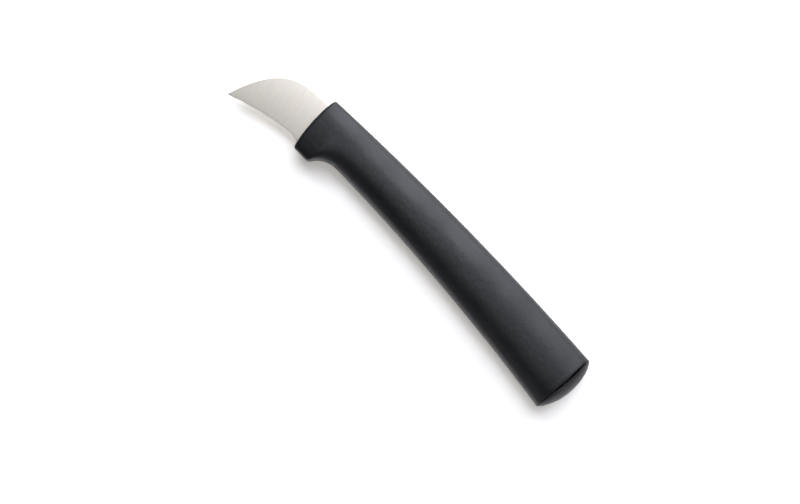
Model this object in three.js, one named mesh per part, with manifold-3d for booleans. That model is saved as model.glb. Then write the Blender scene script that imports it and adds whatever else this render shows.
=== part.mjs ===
// A chestnut knife: a short hooked blade, a plastic handle moulded over the blade's tang, and a domed cap
// that closes the cored butt of the handle.
//
// Millimetres. The knife lies on its side with the middle plane of the blade level. +X runs from the tip to
// the butt, +Y to the back of the handle and -Y to the cutting edge. A station is a distance along the
// handle's axis from its front. Heights and depths are measured from that axis, to the back and the belly.
import * as THREE from 'three';
import { mergeVertices } from 'three/addons/utils/BufferGeometryUtils.js';
import Module from 'manifold-3d';

// Handle: length and thickness
const handleLength = 130;
const handleThickness = 13;
const frontThickness = 11.4;
const frontTaperLength = 42;

// Handle: side outline, with a bowed back, a bowed belly, a finger groove and a guard
const backCrownStation = 75;
const backCrownHeight = 13.7;
const backRadius = 1220;
const neckStation = 17.2;
const neckDepth = 5.6;
const bellyRadius = 900;
const grooveRadius = 11.4;
const guardDepth = 11.35;
const guardCornerRadius = 1.2;

// Handle: ends, both square to its bowed centre line, with a front that swells a little towards the blade
const endSlant = THREE.MathUtils.degToRad(4.2);
const frontBow = 0.75;
const frontBowLength = 20;
const frontEdgeRadius = 0.5;

// Handle: cross-section, an oval with a flat land along each side
// A power of 2 would make its quarters ellipses, and a higher one makes them fuller
const sideLandWidth = 4;
const sectionPower = 2.2;

// Blade: thickness, grinding and outline
const bladeThickness = 1.5;
const bevelWidth = 6;
const edgeThickness = 0.1;
const edgeRadius = 76;
const heelStation = 2.2;
const heelDepth = 8.3;
const tipReach = 29.9;
const spineHeight = 7.6;
const spineRise = THREE.MathUtils.degToRad(2.5);
const spineRootPull = 13.7;
const spineTipPull = 22.7;
const tipAngle = THREE.MathUtils.degToRad(77.6);

// Tang, which runs on from the spine inside the handle
const tangWidth = 9;
const tangEndStation = 64;
const shoulderStation = 6;
const shoulderRadius = 2;
const lockHoleRadius = 2.5;
const lockHoleStations = [24, 46];

// Cored butt and end cap
const coreStation = 84;
const wall = 3;
const capDome = 3.65;
const capRim = 0.3;
const domePower = 0.6;
const spigotLength = 9;
const spigotWall = 1.6;
const beadHeight = 0.6;
const beadStart = 3;
const beadWidth = 2.6;

// Clearance between pieces that seat in each other, and how far a cut runs past the face that it meets
const fitGap = 0.3;
const overrun = 1;

// Straight steps that stand for each curve
const quarterSteps = 8;
const outlineSteps = 6;
const rimSteps = 3;
const domeRings = 10;
const plateSteps = 24;
const wheelSteps = 360;

const wasm = await Module();
wasm.setup();

const arcDrop = (radius, run) => radius - Math.sqrt(radius * radius - run * run);

// Turns a closed geometry into a solid that can be joined and cut
function solidOf(geometry) {
  const bare = geometry.clone();
  bare.deleteAttribute('normal');
  bare.deleteAttribute('uv');
  const merged = mergeVertices(bare);
  const mesh = new wasm.Mesh({
    numProp: 3,
    vertProperties: new Float32Array(merged.attributes.position.array),
    triVerts: new Uint32Array(merged.index.array),
  });
  return new wasm.Manifold(mesh);
}

function geometryOf(solid) {
  const { vertProperties, triVerts } = solid.getMesh();
  const geometry = new THREE.BufferGeometry();
  geometry.setAttribute('position', new THREE.BufferAttribute(vertProperties, 3));
  geometry.setIndex(new THREE.BufferAttribute(triVerts, 1));
  geometry.computeVertexNormals();
  return geometry;
}

// A flat piece of the given outline, with its thickness centred on the blade's middle plane
function plateSolid(outline, thickness) {
  const geometry = new THREE.ExtrudeGeometry(outline, {
    depth: thickness,
    bevelEnabled: false,
    curveSegments: plateSteps,
  });
  geometry.translate(0, 0, -thickness / 2);
  return solidOf(geometry);
}

// Side outline of the handle

const backHeight = (station) => backCrownHeight - arcDrop(backRadius, station - backCrownStation);

// Depth of the belly without the guard, level in front of the neck
const bodyDepth = (station) => neckDepth + arcDrop(bellyRadius, Math.max(0, station - neckStation));

// The belly from the front to the butt: the guard's flat and round corner, the finger groove, the long bow
function bellyPoints() {
  const grooveCentreY = -neckDepth - grooveRadius;
  const cornerCentreY = -guardDepth + guardCornerRadius;
  const rise = cornerCentreY - grooveCentreY;
  const cornerCentreX = neckStation - Math.sqrt((grooveRadius + guardCornerRadius) ** 2 - rise ** 2);
  const tangentAngle = Math.atan2(rise, cornerCentreX - neckStation);
  const buttAngle = Math.acos((handleLength - neckStation) / bellyRadius);
  const path = new THREE.Path();
  path.moveTo(0, -guardDepth);
  path.lineTo(cornerCentreX, -guardDepth);
  path.absarc(cornerCentreX, cornerCentreY, guardCornerRadius, -Math.PI / 2, tangentAngle - Math.PI, false);
  path.absarc(neckStation, grooveCentreY, grooveRadius, tangentAngle, Math.PI / 2, true);
  path.absarc(neckStation, -neckDepth - bellyRadius, bellyRadius, Math.PI / 2, buttAngle, true);
  return path.getPoints(outlineSteps);
}

// Cross-sections of the handle

function halfThickness(station) {
  const blend = THREE.MathUtils.smoothstep(station, 0, frontTaperLength);
  return THREE.MathUtils.lerp(frontThickness, handleThickness, blend) / 2;
}

// Points of an oval from its back edge over the upper side to its belly edge, then along the lower side
function ovalPoints(back, belly, ridge, half) {
  const landEdge = sideLandWidth / 2;
  const power = 2 / sectionPower;
  const upper = [];
  for (let step = 0; step <= quarterSteps; step += 1) {
    const angle = (step / quarterSteps) * (Math.PI / 2);
    const reach = (back - ridge - landEdge) * Math.cos(angle) ** power;
    upper.push(new THREE.Vector2(ridge + landEdge + reach, half * Math.sin(angle) ** power));
  }
  for (let step = quarterSteps; step >= 0; step -= 1) {
    const angle = (step / quarterSteps) * (Math.PI / 2);
    const reach = (ridge - landEdge - belly) * Math.cos(angle) ** power;
    upper.push(new THREE.Vector2(ridge - landEdge - reach, half * Math.sin(angle) ** power));
  }
  const lower = upper.slice(1, -1).reverse();
  return [...upper, ...lower.map(({ x, y }) => new THREE.Vector2(x, -y))];
}

// Places a section in space: each leans with the bowed centre line, and those at the front swell
function placeSection(points, station) {
  const lean = Math.tan(endSlant * ((2 * Math.min(station, handleLength)) / handleLength - 1));
  const widest = points[0].x;
  const narrowest = points[points.length / 2].x;
  const middle = (widest + narrowest) / 2;
  const reach = (widest - narrowest) / 2;
  const bow = frontBow * Math.max(0, 1 - station / frontBowLength) ** 2;
  return points.map(({ x: y, y: z }) => {
    const swell = bow * (1 - ((y - middle) / reach) ** 2);
    return new THREE.Vector3(station + y * lean - swell, y, z);
  });
}

// One section of the handle, drawn in by an inset
function handleSection(station, depth, inset) {
  const back = backHeight(station);
  const ridge = (back - bodyDepth(station)) / 2;
  const points = ovalPoints(back - inset, inset - depth, ridge, halfThickness(station) - inset);
  return placeSection(points, station);
}

const bodySection = (station, inset) => handleSection(station, bodyDepth(station), inset);

// A solid skinned over sections with equal counts of points, closed across the oval at both ends
function loftSolid(sections) {
  const count = sections[0].length;
  const positions = sections.flat().flatMap(({ x, y, z }) => [x, y, z]);
  const triangles = [];
  for (let row = 0; row < sections.length - 1; row += 1) {
    for (let column = 0; column < count; column += 1) {
      const next = (column + 1) % count;
      const near = row * count;
      const far = near + count;
      triangles.push(near + column, near + next, far + column);
      triangles.push(near + next, far + next, far + column);
    }
  }
  const last = (sections.length - 1) * count;
  for (let column = 0; column < count / 2; column += 1) {
    const above = [column, column + 1];
    const below = [(count - column) % count, count - column - 1];
    const strip = [[above[0], below[1], above[1]], [above[0], below[0], below[1]]];
    for (const corners of strip.filter((triangle) => new Set(triangle).size === 3)) {
      triangles.push(...corners);
      triangles.push(...corners.toReversed().map((corner) => last + corner));
    }
  }
  const geometry = new THREE.BufferGeometry();
  geometry.setAttribute('position', new THREE.Float32BufferAttribute(positions, 3));
  geometry.setIndex(triangles);
  return solidOf(geometry);
}

// Blade

// Traces the part of an outline that lies inside the handle, from the heel round the tang to the spine
function traceTang(outline, clearance) {
  const middle = spineHeight - tangWidth / 2;
  const low = middle - tangWidth / 2 - clearance;
  const corner = shoulderRadius - clearance;
  const roundCentre = tangEndStation - tangWidth / 2;
  outline.lineTo(shoulderStation + clearance, low - corner);
  outline.absarc(shoulderStation + shoulderRadius, low - corner, corner, Math.PI, Math.PI / 2, true);
  outline.absarc(roundCentre, middle, tangWidth / 2 + clearance, -Math.PI / 2, Math.PI / 2, false);
  for (const station of lockHoleStations) {
    const hole = new THREE.Path();
    hole.absarc(station, middle, lockHoleRadius - clearance, 0, 2 * Math.PI, true);
    outline.holes.push(hole);
  }
}

const edgeDepth = (station) => heelDepth + arcDrop(edgeRadius, station - heelStation);

// The stamped blank, which reaches past the cutting edge by what the grinding takes off
function blankOutline() {
  const tipDepth = edgeDepth(-tipReach);
  const alongTip = new THREE.Vector2(Math.cos(tipAngle), Math.sin(tipAngle));
  const outline = new THREE.Shape();
  outline.moveTo(shoulderStation, -edgeDepth(shoulderStation) - overrun);
  traceTang(outline, 0);
  outline.lineTo(0, spineHeight);
  outline.bezierCurveTo(
    -spineRootPull * Math.cos(spineRise), spineHeight + spineRootPull * Math.sin(spineRise),
    -tipReach + spineTipPull * alongTip.x, -tipDepth + spineTipPull * alongTip.y,
    -tipReach, -tipDepth,
  );
  outline.lineTo(-tipReach - overrun * alongTip.x, -tipDepth - overrun * alongTip.y);
  outline.closePath();
  return outline;
}

// The grinding wheel: its grooved rim leaves the concave cutting edge and a bevel on each side of it
function wheelSolid() {
  const outer = edgeRadius + bevelWidth;
  const inner = edgeRadius - bevelWidth;
  const side = bladeThickness;
  const rim = [
    new THREE.Vector2(inner, -side),
    new THREE.Vector2(outer, -side),
    new THREE.Vector2(outer, -bladeThickness / 2),
    new THREE.Vector2(edgeRadius, -edgeThickness / 2),
    new THREE.Vector2(edgeRadius, edgeThickness / 2),
    new THREE.Vector2(outer, bladeThickness / 2),
    new THREE.Vector2(outer, side),
    new THREE.Vector2(inner, side),
    new THREE.Vector2(inner, -side),
  ];
  const geometry = new THREE.LatheGeometry(rim, wheelSteps);
  geometry.rotateX(Math.PI / 2);
  geometry.translate(heelStation, -heelDepth - edgeRadius, 0);
  return solidOf(geometry);
}

const bladeSolid = () => plateSolid(blankOutline(), bladeThickness).subtract(wheelSolid());

// Handle

// The slot for the blade's root and tang, open at the front and crossed by the two pegs that lock the tang
function slotSolid() {
  const depth = Math.max(edgeDepth(-frontBow), edgeDepth(shoulderStation)) + fitGap;
  const mouth = -frontBow - guardDepth * Math.tan(endSlant) - overrun;
  const outline = new THREE.Shape();
  outline.moveTo(shoulderStation + fitGap, -depth);
  traceTang(outline, fitGap);
  outline.lineTo(mouth, spineHeight + fitGap);
  outline.lineTo(mouth, -depth);
  outline.closePath();
  return plateSolid(outline, bladeThickness + 2 * fitGap);
}

// Distances from the butt, and heights, of the snap bead's profile on the spigot
const beadProfile = [
  [0, 0],
  [beadStart, 0],
  [beadStart + beadWidth / 3, beadHeight],
  [beadStart + (beadWidth * 2) / 3, beadHeight],
  [beadStart + beadWidth, 0],
  [spigotLength, 0],
];

function seatSections(inset) {
  return beadProfile.map(([run, rise]) => bodySection(handleLength - run, inset - rise));
}

function coreSolid() {
  return loftSolid([
    bodySection(coreStation, wall),
    ...seatSections(wall).reverse(),
    bodySection(handleLength + overrun, wall),
  ]);
}

function handleSolid() {
  const front = [];
  for (let step = 0; step < rimSteps; step += 1) {
    const angle = (step / rimSteps) * (Math.PI / 2);
    const inset = frontEdgeRadius * (1 - Math.sin(angle));
    front.push(handleSection(frontEdgeRadius * (1 - Math.cos(angle)), guardDepth, inset));
  }
  const rest = bellyPoints().filter(({ x }) => x > frontEdgeRadius);
  const sections = [
    ...front,
    handleSection(frontEdgeRadius, guardDepth, 0),
    ...rest.map(({ x, y }) => handleSection(x, -y, 0)),
  ];
  return loftSolid(sections).subtract(slotSolid()).subtract(coreSolid());
}

// End cap

// The dome over the butt: sections of the handle's end drawn together about its ridge
function domeSections() {
  const rim = bodySection(handleLength, 0);
  const ridge = (backHeight(handleLength) - bodyDepth(handleLength)) / 2;
  const centre = new THREE.Vector3(handleLength + ridge * Math.tan(endSlant), ridge, 0);
  const seat = new THREE.Vector3(fitGap, 0, 0);
  const sections = [rim.map((point) => point.clone().add(seat))];
  for (let ring = 0; ring < domeRings; ring += 1) {
    const share = Math.cos((ring / domeRings) * (Math.PI / 2));
    const rise = fitGap + capRim + (capDome - capRim) * (1 - share ** 2) ** domePower;
    sections.push(rim.map((point) => {
      const drawn = centre.clone().lerp(point, share);
      return drawn.setX(drawn.x + rise);
    }));
  }
  return sections;
}

function capSolid() {
  const join = capRim / 2;
  const spigot = loftSolid([
    ...seatSections(wall + fitGap).reverse(),
    bodySection(handleLength + fitGap + join, wall + fitGap),
  ]);
  const pocketInset = wall + fitGap + spigotWall;
  const pocket = loftSolid([
    bodySection(handleLength - spigotLength - overrun, pocketInset),
    bodySection(handleLength, pocketInset),
  ]);
  return loftSolid(domeSections()).add(spigot).subtract(pocket);
}

// Assembly

function piece(name, solid, finish) {
  const mesh = new THREE.Mesh(geometryOf(solid), new THREE.MeshStandardMaterial(finish));
  mesh.name = name;
  return mesh;
}

const satinSteel = { color: '#cbc8c2', roughness: 0.32, metalness: 1 };
const blackPlastic = { color: '#1b1c1e', roughness: 0.48, metalness: 0 };

const knife = new THREE.Group();
knife.add(
  piece('blade', bladeSolid(), satinSteel),
  piece('handle', handleSolid(), blackPlastic),
  piece('end_cap', capSolid(), blackPlastic),
);

// The origin is below the middle of the knife, on the surface that it lies on
const box = new THREE.Box3().setFromObject(knife);
const middle = box.getCenter(new THREE.Vector3());
knife.position.set(-middle.x, -middle.y, -box.min.z);

export default knife;
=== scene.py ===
"""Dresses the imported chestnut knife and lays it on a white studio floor, seen from overhead.

The sizes in this file are millimetres in the knife's own axes: X runs from the front of the handle to its
butt, Y to the back of the handle, and Z out of the side of the blade, from the blade's middle plane. A
station is a distance along X. Meshes are made in metres, and are moved into the part's frame when they are
finished.
"""

import logging
import math
from collections.abc import Iterator
from contextlib import contextmanager
from dataclasses import dataclass, replace
from enum import Enum
from functools import partial

import bmesh
import bpy
import numpy as np
from bpy.types import ID, Material, Mesh, Modifier, Node, NodeSocket, NodeTree, Object, World
from mathutils import Matrix, Vector


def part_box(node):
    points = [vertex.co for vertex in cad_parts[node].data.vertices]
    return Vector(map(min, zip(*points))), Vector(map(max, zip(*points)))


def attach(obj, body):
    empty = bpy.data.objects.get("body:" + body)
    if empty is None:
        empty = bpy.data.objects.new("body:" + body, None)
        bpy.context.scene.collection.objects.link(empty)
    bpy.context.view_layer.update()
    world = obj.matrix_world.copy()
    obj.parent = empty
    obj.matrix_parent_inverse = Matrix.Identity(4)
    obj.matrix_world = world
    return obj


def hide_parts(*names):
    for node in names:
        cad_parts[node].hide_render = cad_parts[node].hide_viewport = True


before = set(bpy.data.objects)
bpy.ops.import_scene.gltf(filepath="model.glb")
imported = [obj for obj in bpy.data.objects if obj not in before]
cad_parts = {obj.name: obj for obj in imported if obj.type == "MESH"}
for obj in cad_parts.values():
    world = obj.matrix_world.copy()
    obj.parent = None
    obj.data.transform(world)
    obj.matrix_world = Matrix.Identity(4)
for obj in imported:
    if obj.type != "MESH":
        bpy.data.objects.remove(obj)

LOG = logging.getLogger("chestnut_knife")
MM = 0.001
BODY = "root"
Point = tuple[float, float]

# Size below which an edge or a face is closed up
SLIVER = 0.0005

# Angles above which an edge stays sharp, in degrees: on ground steel and on moulded plastic
GROUND_CREASE, MOULDED_CREASE = 5.0, 40.0

# Straight steps round the edge of a stamped plate
ROUNDING_STEPS = 5


class Slot(Enum):
    """The record's material slots."""

    BLADE = "blade_steel"
    HANDLE = "handle_plastic"
    CAP = "cap_plastic"


class Cut(Enum):
    """What a tool does to a piece."""

    AWAY = "DIFFERENCE"
    ON = "UNION"


def linear(code: str) -> tuple[float, float, float, float]:
    """Turns a colour as it is seen into the linear colour that a shader takes.

    Args:
        code: An sRGB hex value, such as "#1b1c1e".

    Returns:
        Linear red, green, blue and an alpha of 1.
    """
    channels = (int(code[place : place + 2], 16) / 255 for place in (1, 3, 5))
    red, green, blue = (c / 12.92 if c <= 0.04045 else ((c + 0.055) / 1.055) ** 2.4 for c in channels)
    return red, green, blue, 1.0


def add_node(tree: NodeTree, kind: str, inputs: dict | None = None, **settings: object) -> Node:
    """Adds a node to a tree.

    Args:
        tree: The tree of a material, a world or a Geometry Nodes modifier.
        kind: The node's type name.
        inputs: Input name or place, to the output that feeds it or to its fixed value.
        **settings: The node's own properties.

    Returns:
        The node.
    """
    node = tree.nodes.new(kind)
    for key, value in settings.items():
        setattr(node, key, value)
    for key, value in (inputs or {}).items():
        if isinstance(value, NodeSocket):
            tree.links.new(value, node.inputs[key])
        else:
            node.inputs[key].default_value = value
    return node


def compute(tree: NodeTree, operation: str, *terms: object, **settings: object) -> NodeSocket:
    """Adds a node that computes a value.

    Args:
        tree: The tree of a material or a Geometry Nodes modifier.
        operation: What it computes.
        *terms: The outputs or fixed values that it works on.
        **settings: The node's other properties.

    Returns:
        The node's result.
    """
    node = add_node(tree, "ShaderNodeMath", dict(enumerate(terms)), operation=operation, **settings)
    return node.outputs[0]


def noise(tree: NodeTree, place: NodeSocket, width: float, layers: float) -> Node:
    """Adds a noise texture.

    Args:
        tree: The tree of a material.
        place: The coordinates that it is drawn on.
        width: Width of its widest waves, in the same unit.
        layers: Layers of finer waves.

    Returns:
        The node.
    """
    return add_node(tree, "ShaderNodeTexNoise", {"Vector": place, "Scale": 1 / width, "Detail": layers})


def remap(
    tree: NodeTree,
    value: NodeSocket,
    source: tuple,
    target: tuple = (0.0, 1.0),
    **settings: object,
) -> NodeSocket:
    """Adds a node that maps one range of values onto another, and holds what lies outside.

    Args:
        tree: The tree of a material or a Geometry Nodes modifier.
        value: The value.
        source: The range that it comes from.
        target: The range that it goes to.
        **settings: The node's own properties.

    Returns:
        The node's result.
    """
    ends = dict(zip(("From Min", "From Max", "To Min", "To Max"), (*source, *target)))
    return add_node(tree, "ShaderNodeMapRange", {"Value": value, **ends}, **settings).outputs["Result"]


def empty_tree(owner: Material | World) -> NodeTree:
    """Turns on the nodes of a material or a backdrop, and clears them away.

    Args:
        owner: The material or the backdrop.

    Returns:
        Its empty tree.
    """
    owner.use_nodes = True
    owner.node_tree.nodes.clear()
    return owner.node_tree


def start_material(name: str) -> tuple[Material, NodeTree, NodeSocket]:
    """Makes an empty material.

    Args:
        name: Name of the material.

    Returns:
        The material, its tree, and the Object coordinates in that tree.
    """
    material = bpy.data.materials.new(name)
    tree = empty_tree(material)
    return material, tree, add_node(tree, "ShaderNodeTexCoord").outputs["Object"]


def new_object(name: str, data: ID) -> Object:
    """Puts something new in the scene, at the origin.

    Args:
        name: Name of the object.
        data: Its mesh, lamp or camera.

    Returns:
        The object.
    """
    made = bpy.data.objects.new(name, data)
    bpy.context.scene.collection.objects.link(made)
    return made


def aimed(place: Vector, back: Vector, right: Vector) -> Matrix:
    """Works out where a lamp or a camera stands.

    Args:
        place: Its place, in metres.
        back: Direction that its back faces.
        right: Direction of its right side.

    Returns:
        Its place and turn.
    """
    return Matrix.Translation(place) @ Matrix((right, back.cross(right), back)).transposed().to_4x4()


@contextmanager
def editing(mesh: Mesh) -> Iterator[bmesh.types.BMesh]:
    """Opens a mesh for changes, and puts them back into it.

    Args:
        mesh: The mesh.

    Returns:
        The mesh as it is worked on.
    """
    work = bmesh.new()
    work.from_mesh(mesh)
    yield work
    work.to_mesh(mesh)
    work.free()


def applied(piece: Object, modifier: Modifier) -> Mesh:
    """Works a modifier into a new mesh, and takes it off its object.

    Args:
        piece: The object.
        modifier: Its modifier.

    Returns:
        The new mesh.
    """
    mesh = bpy.data.meshes.new_from_object(piece.evaluated_get(bpy.context.evaluated_depsgraph_get()))
    piece.modifiers.remove(modifier)
    return mesh


def carve(piece: Object, tool: Object, cut: Cut) -> None:
    """Cuts a tool's shape away from a piece, or joins it on, and throws the tool away.

    Args:
        piece: The closed mesh that changes.
        tool: The closed mesh that is taken away or joined.
        cut: Which of the two.
    """
    modifier = piece.modifiers.new(cut.name, "BOOLEAN")
    modifier.operation = cut.value
    modifier.object = tool
    modifier.solver = "MANIFOLD"
    piece.data = applied(piece, modifier)
    bpy.data.objects.remove(tool)


# Finishes


@dataclass(frozen=True)
class MouldedPolypropylene:
    """Black polypropylene, injection moulded against an etched steel tool.

    The etching leaves a fine even grain, so a highlight spreads out wide and grey while the black itself
    stays deep.

    Attributes:
        name: Name of the material.
        colour: The black of the pigment.
        ior: Refractive index of polypropylene.
        roughness: Lowest and highest roughness of the grain.
        grain: Width of the grain's widest waves, drawn several times too coarse so that they show.
        grain_depth: How far the grain stands up, drawn too coarse in the same way.
        grain_layers: Layers of finer waves in the grain.
        grain_gain: Strength of each of those layers beside the last.
        handling: Width of the patches where hands have rubbed the grain a little smoother.
        handling_layers: Layers of finer waves in those patches.
        handling_range: Values of the patches' noise that give the lowest and the highest roughness.
    """

    name: str = "moulded_black_polypropylene"
    colour: str = "#111214"
    ior: float = 1.49
    roughness: Point = (0.36, 0.46)
    grain: float = 2.0
    grain_depth: float = 0.08
    grain_layers: float = 3.0
    grain_gain: float = 0.6
    handling: float = 14.0
    handling_layers: float = 2.0
    handling_range: Point = (0.35, 0.65)

    def material(self) -> Material:
        """Makes the material.

        Returns:
            A material on Object coordinates.
        """
        material, tree, place = start_material(self.name)
        grain = noise(tree, place, self.grain * MM, self.grain_layers)
        grain.inputs["Roughness"].default_value = self.grain_gain
        rubbed = noise(tree, place, self.handling * MM, self.handling_layers)
        sheen = remap(tree, rubbed.outputs["Fac"], self.handling_range, self.roughness)
        relief = add_node(
            tree, "ShaderNodeBump", {"Height": grain.outputs["Fac"], "Distance": self.grain_depth * MM}
        )
        shader = add_node(
            tree,
            "ShaderNodeBsdfPrincipled",
            {
                "Base Color": linear(self.colour),
                "IOR": self.ior,
                "Roughness": sheen,
                "Normal": relief.outputs["Normal"],
            },
        )
        add_node(tree, "ShaderNodeOutputMaterial", {"Surface": shader.outputs["BSDF"]})
        return material


@dataclass(frozen=True)
class SatinStainless:
    """Stainless sheet, stamped, then ground and brushed across the cutting edge.

    The grinding leaves fine scratches that run from the edge to the spine, so the steel is a soft, slightly
    warm grey that is streaked across the edge and never mirrors anything sharply.

    Attributes:
        name: Name of the material.
        colours: Darkest and lightest tone of the steel between scratches.
        roughness: Lowest and highest roughness across the scratches.
        scratch: Width of a scratch, drawn about ten times as coarse as the real one so that it shows at all.
        scratch_run: Length of a scratch.
        scratch_depth: How deep the scratches are.
        scratch_layers: Layers of finer scratches.
        scratch_range: Values of the scratches' noise that give the darkest and the lightest tone.
        wheel: Centre of the grinding wheel, which the scratches point to, in the part's frame, in metres.
        reach: Distance from that centre to the cutting edge.
    """

    wheel: Vector
    reach: float
    name: str = "ground_satin_stainless_steel"
    colours: tuple[str, str] = ("#e3dcd1", "#ede7da")
    roughness: Point = (0.35, 0.39)
    scratch: float = 0.35
    scratch_run: float = 9.0
    scratch_depth: float = 0.0004
    scratch_layers: float = 4.0
    scratch_range: Point = (0.3, 0.7)

    def material(self) -> Material:
        """Makes the material.

        Returns:
            A material on Object coordinates, turned into angle and distance about the wheel's centre.
        """
        material, tree, place = start_material(self.name)
        centred = add_node(tree, "ShaderNodeMapping", {"Vector": place, "Location": -self.wheel})
        split = add_node(tree, "ShaderNodeSeparateXYZ", {"Vector": centred.outputs["Vector"]})
        angle = compute(tree, "ARCTAN2", split.outputs["Y"], split.outputs["X"])
        distance = add_node(tree, "ShaderNodeVectorMath", {0: centred.outputs["Vector"]}, operation="LENGTH")
        across = compute(tree, "MULTIPLY", angle, self.reach / self.scratch)
        along = compute(tree, "MULTIPLY", distance.outputs["Value"], 1 / (self.scratch_run * MM))
        grid = add_node(tree, "ShaderNodeCombineXYZ", {"X": across, "Y": along})
        scratches = noise(tree, grid.outputs["Vector"], 1.0, self.scratch_layers).outputs["Fac"]
        tone = remap(tree, scratches, self.scratch_range)
        colour = add_node(
            tree,
            "ShaderNodeMix",
            {0: tone, 6: linear(self.colours[0]), 7: linear(self.colours[1])},
            data_type="RGBA",
        )
        sheen = remap(tree, tone, (0.0, 1.0), tuple(reversed(self.roughness)))
        relief = add_node(tree, "ShaderNodeBump", {"Height": scratches, "Distance": self.scratch_depth * MM})
        shader = add_node(
            tree,
            "ShaderNodeBsdfPrincipled",
            {
                "Base Color": colour.outputs[2],
                "Metallic": 1.0,
                "Roughness": sheen,
                "Normal": relief.outputs["Normal"],
            },
        )
        add_node(tree, "ShaderNodeOutputMaterial", {"Surface": shader.outputs["BSDF"]})
        return material


@dataclass(frozen=True)
class WhiteFloor:
    """Matt white studio paper, which the lamps and a glow of its own bring to white.

    Attributes:
        name: Name of the material.
        colour: Colour of the paper.
        tint: Colour of the glow.
        glow: Strength of the glow under the knife and far from it, where the lamps' light falls off.
        glow_reach: Distances from the knife between which the glow rises.
    """

    name: str = "matt_white_paper"
    colour: str = "#fafafa"
    tint: str = "#fffaf4"
    glow: Point = (0.33, 1.1)
    glow_reach: Point = (100.0, 500.0)

    def material(self) -> Material:
        """Makes the material.

        Returns:
            A material that keeps the shadow, and whose glow only the eye and reflections see.
        """
        material, tree, place = start_material(self.name)
        distance = add_node(tree, "ShaderNodeVectorMath", {0: place}, operation="LENGTH")
        reach = tuple(length * MM for length in self.glow_reach)
        glow = remap(tree, distance.outputs["Value"], reach, self.glow, interpolation_type="SMOOTHSTEP")
        ray = add_node(tree, "ShaderNodeLightPath")
        seen = compute(tree, "MAXIMUM", ray.outputs["Is Camera Ray"], ray.outputs["Is Glossy Ray"])
        seen = compute(tree, "MAXIMUM", seen, ray.outputs["Is Transmission Ray"])
        strength = compute(tree, "MULTIPLY", seen, glow)
        paper = add_node(tree, "ShaderNodeBsdfDiffuse", {"Color": linear(self.colour)})
        shine = add_node(tree, "ShaderNodeEmission", {"Color": linear(self.tint), "Strength": strength})
        both = add_node(tree, "ShaderNodeAddShader", {0: paper.outputs["BSDF"], 1: shine.outputs["Emission"]})
        add_node(tree, "ShaderNodeOutputMaterial", {"Surface": both.outputs["Shader"]})
        return material


# Shapes


def ease(share: float) -> float:
    """Goes from 0 to 1 with the share, level at both ends."""
    held = min(max(share, 0.0), 1.0)
    return held * held * (3 - 2 * held)


@dataclass(frozen=True)
class Section:
    """One oval across the handle.

    Attributes:
        station: Where the section crosses the axis.
        ridge: Height of the oval's thickest place above the axis.
        to_back: Distance from the ridge to the back edge.
        to_belly: Distance from the ridge to the belly edge.
        half: Distance from the middle plane to the side.
        lean: Tangent of the section's lean.
        swell: How far the section's middle stands out towards the blade, or away from it if negative.
        guard: How far the guard carries the belly edge further down.
        block: Share of the guard's blocky section in this one.
        fullness: How much fuller this oval is than the others.
    """

    station: float
    ridge: float
    to_back: float
    to_belly: float
    half: float
    lean: float = 0.0
    swell: float = 0.0
    guard: float = 0.0
    block: float = 0.0
    fullness: float = 0.0

    @property
    def middle(self) -> float:
        """Height halfway between the back edge and the belly edge."""
        return self.ridge + (self.to_back - self.to_belly - self.guard) / 2


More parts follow.
